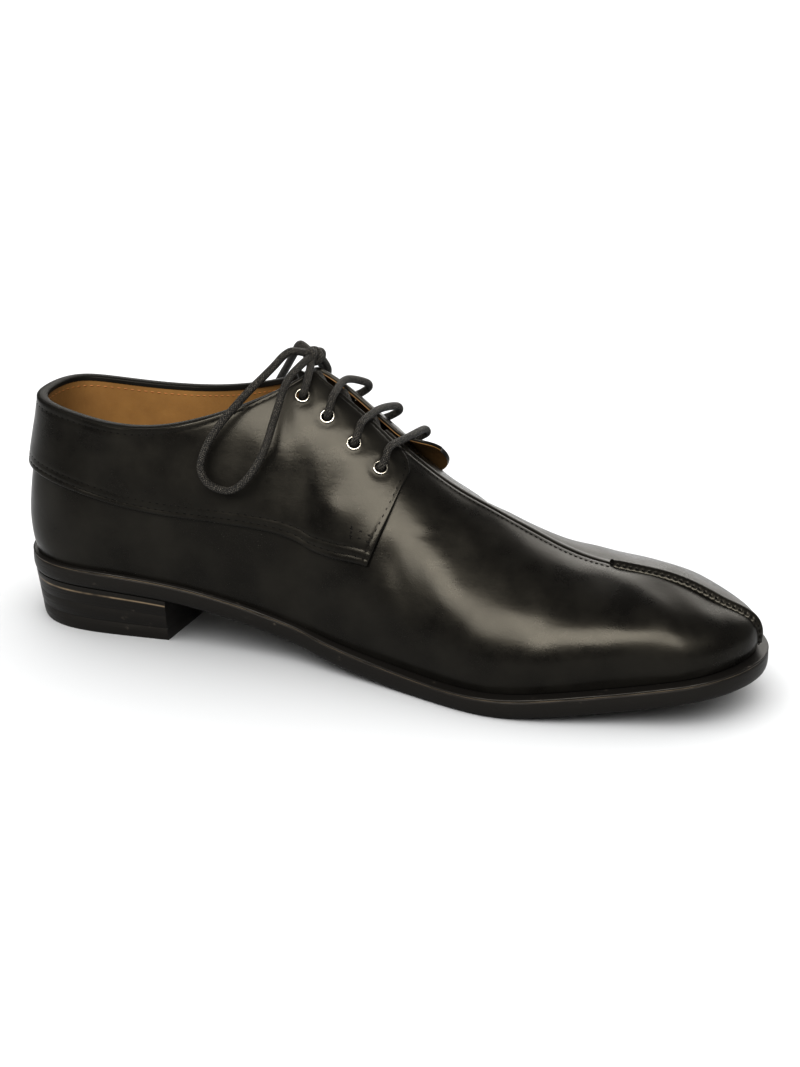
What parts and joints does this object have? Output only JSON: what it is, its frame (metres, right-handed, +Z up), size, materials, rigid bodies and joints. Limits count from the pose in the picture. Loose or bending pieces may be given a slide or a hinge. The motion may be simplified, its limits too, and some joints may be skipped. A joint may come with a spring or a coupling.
{
  "type": "derby shoe",
  "caption": "Left derby lace-up shoe with a hollow leather upper, open lacing over a tongue, a raised toe seam, a leather sole with arch and toe spring, and a stacked heel.",
  "frame": {"origin": "centre of the shoe's outline at floor level, free laces left out", "axes": "+X towards the toe, +Y towards the lateral (outer) side of the left foot, +Z up from the floor"},
  "size_m": [0.3024, 0.1092, 0.1185],
  "materials": {
    "black_leather": "satin polished smooth leather",
    "tan_leather": "matte natural lining leather",
    "sole_edge": "satin inked sole leather",
    "eyelet_metal": "satin nickel",
    "waxed_cord": "waxed round woven lace"
  },
  "bodies": {
    "root": {"outsole": "sole_edge", "heel": "sole_edge", "insole": "tan_leather", "upper": "black_leather", "tongue": "black_leather", "toe_seam": "black_leather", "quarter_medial": "black_leather", "quarter_lateral": "black_leather", "eyelet_medial_1": "eyelet_metal", "eyelet_medial_2": "eyelet_metal", "eyelet_medial_3": "eyelet_metal", "eyelet_medial_4": "eyelet_metal", "eyelet_lateral_1": "eyelet_metal", "eyelet_lateral_2": "eyelet_metal", "eyelet_lateral_3": "eyelet_metal", "eyelet_lateral_4": "eyelet_metal", "lace_bar_1": "waxed_cord", "lace_bar_2": "waxed_cord", "lace_bar_3": "waxed_cord", "lace_bar_4": "waxed_cord", "lace_knot": "waxed_cord", "lace_loop_medial": "waxed_cord", "lace_loop_lateral": "waxed_cord"}
  },
  "joints": []
}
